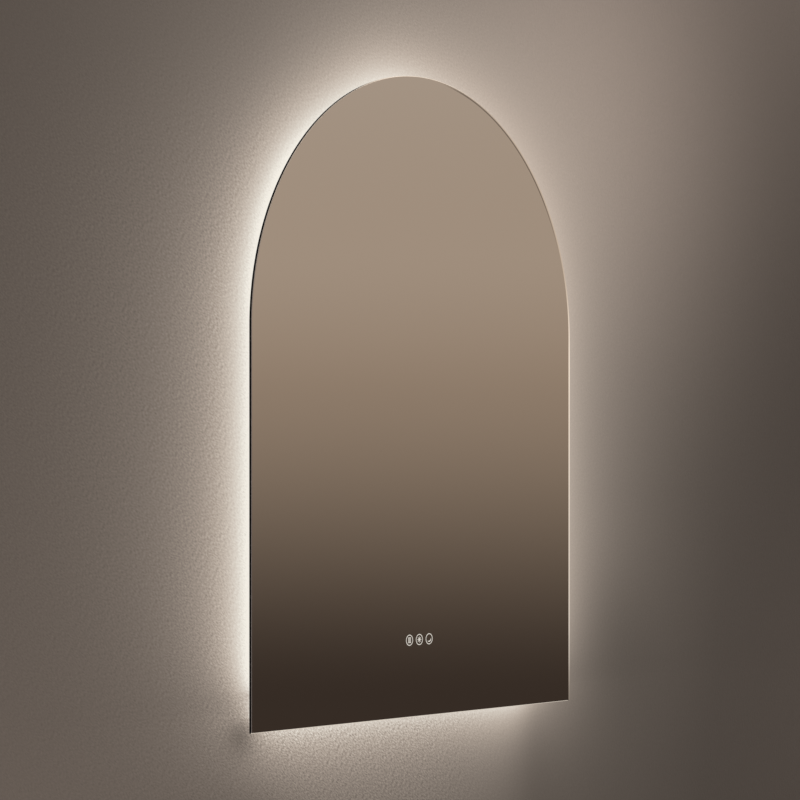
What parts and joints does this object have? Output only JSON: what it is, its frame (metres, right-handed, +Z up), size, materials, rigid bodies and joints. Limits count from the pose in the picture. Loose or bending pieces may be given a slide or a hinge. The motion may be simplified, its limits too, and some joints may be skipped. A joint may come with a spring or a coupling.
{
  "type": "lighted bathroom mirror",
  "caption": "Arched frameless bathroom mirror, lit from behind round its edge, with touch controls and a demister, hung on a wall rail.",
  "frame": {"origin": "centre of the wall rail's row of screw holes, on the wall's face", "axes": "+X right along the wall, +Y into the wall, +Z up; the glass faces -Y"},
  "size_m": [0.8, 0.04, 0.9999],
  "materials": {
    "mirror": "polished silvered glass",
    "backing": "matt protective film",
    "foam": "white foam tape",
    "frame": "satin anodised",
    "opal": "translucent opal, lit from inside",
    "strip": "white flexible circuit",
    "led": "phosphor",
    "steel": "bright zinc plated",
    "screw": "bright plated",
    "rivet": "satin",
    "rubber": "matt black",
    "supply_case": "fine grained white",
    "circuit": "green solder mask",
    "box_case": "fine grained light grey",
    "terminal": "moulded ivory",
    "gland": "moulded black",
    "lug": "tinned",
    "earth_sheath": "green with a yellow stripe",
    "sheath": "white sheath",
    "clip": "natural nylon",
    "touch_case": "moulded dark grey",
    "guide": "moulded white",
    "electrode": "bare copper foil",
    "lamp": "white lamp",
    "heater": "dark printed heating film"
  },
  "bodies": {
    "wall_rail": {"wall_rail": "steel"},
    "mirror": {"mirror_glass": "mirror", "backing_film": "backing", "bonding_tape_arch": "foam", "bonding_tape_bottom": "foam", "fixing_pads": "foam", "frame_arch": "frame", "frame_bottom": "frame", "diffuser_arch": "opal", "diffuser_bottom": "opal", "diffuser_end_caps": "opal", "led_strip_arch": "strip", "led_strip_bottom": "strip", "strip_jumper": "strip", "led_chips_arch": "led", "led_chips_bottom": "led", "corner_bracket_right": "steel", "corner_bracket_left": "steel", "hanger_bar": "steel", "corner_screws": "screw", "driver_screws": "screw", "terminal_screws": "screw", "lid_hinge_pin": "screw", "earth_screw": "screw", "hanger_rivets": "rivet", "wall_bumpers": "rubber", "gland_seal": "rubber", "lead_grommet": "rubber", "driver_base": "supply_case", "driver_cover": "supply_case", "driver_board": "circuit", "touch_board": "circuit", "wiring_box_base": "box_case", "terminal_block": "terminal", "gland_body": "gland", "gland_cap": "gland", "gland_locknut": "gland", "earth_lug": "lug", "earth_lead": "earth_sheath", "lead_mains_driver": "sheath", "lead_leds": "sheath", "lead_driver_touch": "sheath", "lead_demister": "sheath", "lead_clips": "clip", "demister_terminal": "clip", "touch_housing": "touch_case", "light_guides": "guide", "touch_electrodes": "electrode", "touch_lamps": "lamp", "demister_pad": "heater"},
    "box_lid": {"wiring_box_lid": "box_case"}
  },
  "joints": [
    {"name": "lift_off", "type": "slide", "parent": "wall_rail", "child": "mirror", "axis": [0, 0, 1], "range_m": [0, 0.016]},
    {"name": "lid_hinge", "type": "hinge", "parent": "mirror", "child": "box_lid", "pos_m": [0.12, -0.0115, -0.5064], "axis": [1, 0, 0], "range_deg": [0, 105]}
  ]
}
